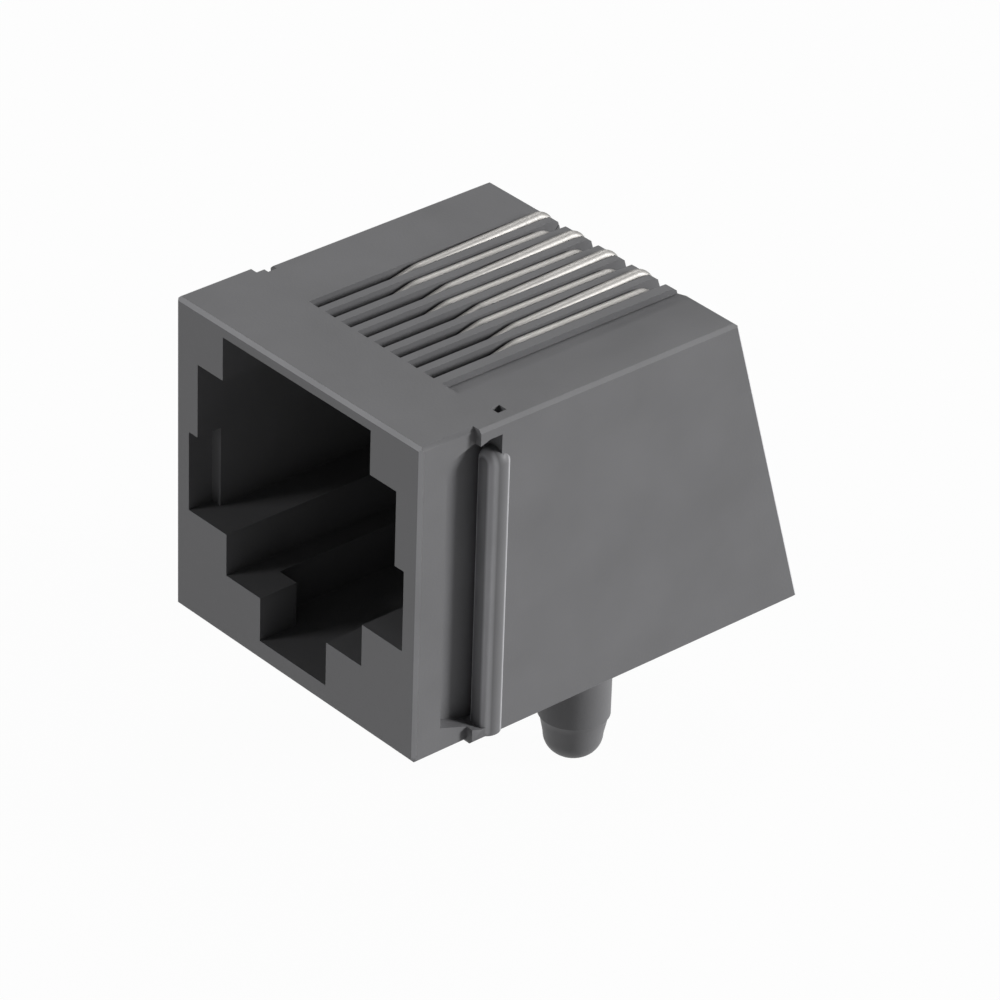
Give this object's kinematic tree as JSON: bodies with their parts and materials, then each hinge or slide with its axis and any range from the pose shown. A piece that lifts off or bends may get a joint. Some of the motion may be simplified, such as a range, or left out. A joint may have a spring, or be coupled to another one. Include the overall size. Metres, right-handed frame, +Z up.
{
  "type": "modular jack for a circuit board",
  "caption": "Side-entry modular jack for a circuit board, with formed wire contacts in open top grooves, a stepped plug opening, a sloping rear and two locating pegs.",
  "frame": {"origin": "on the board's face, midway between the two locating pegs", "axes": "+Z up from the board, -Y towards the plug, +X to the right seen from the plug side"},
  "size_m": [0.0157, 0.0206, 0.0194],
  "materials": {
    "housing": "moulded dark grey thermoplastic, satin",
    "contact": "plated phosphor bronze wire, pale and bright"
  },
  "bodies": {
    "root": {"housing": "housing", "contact_1": "contact", "contact_2": "contact", "contact_3": "contact", "contact_4": "contact", "contact_5": "contact", "contact_6": "contact", "contact_7": "contact", "contact_8": "contact"}
  },
  "joints": []
}
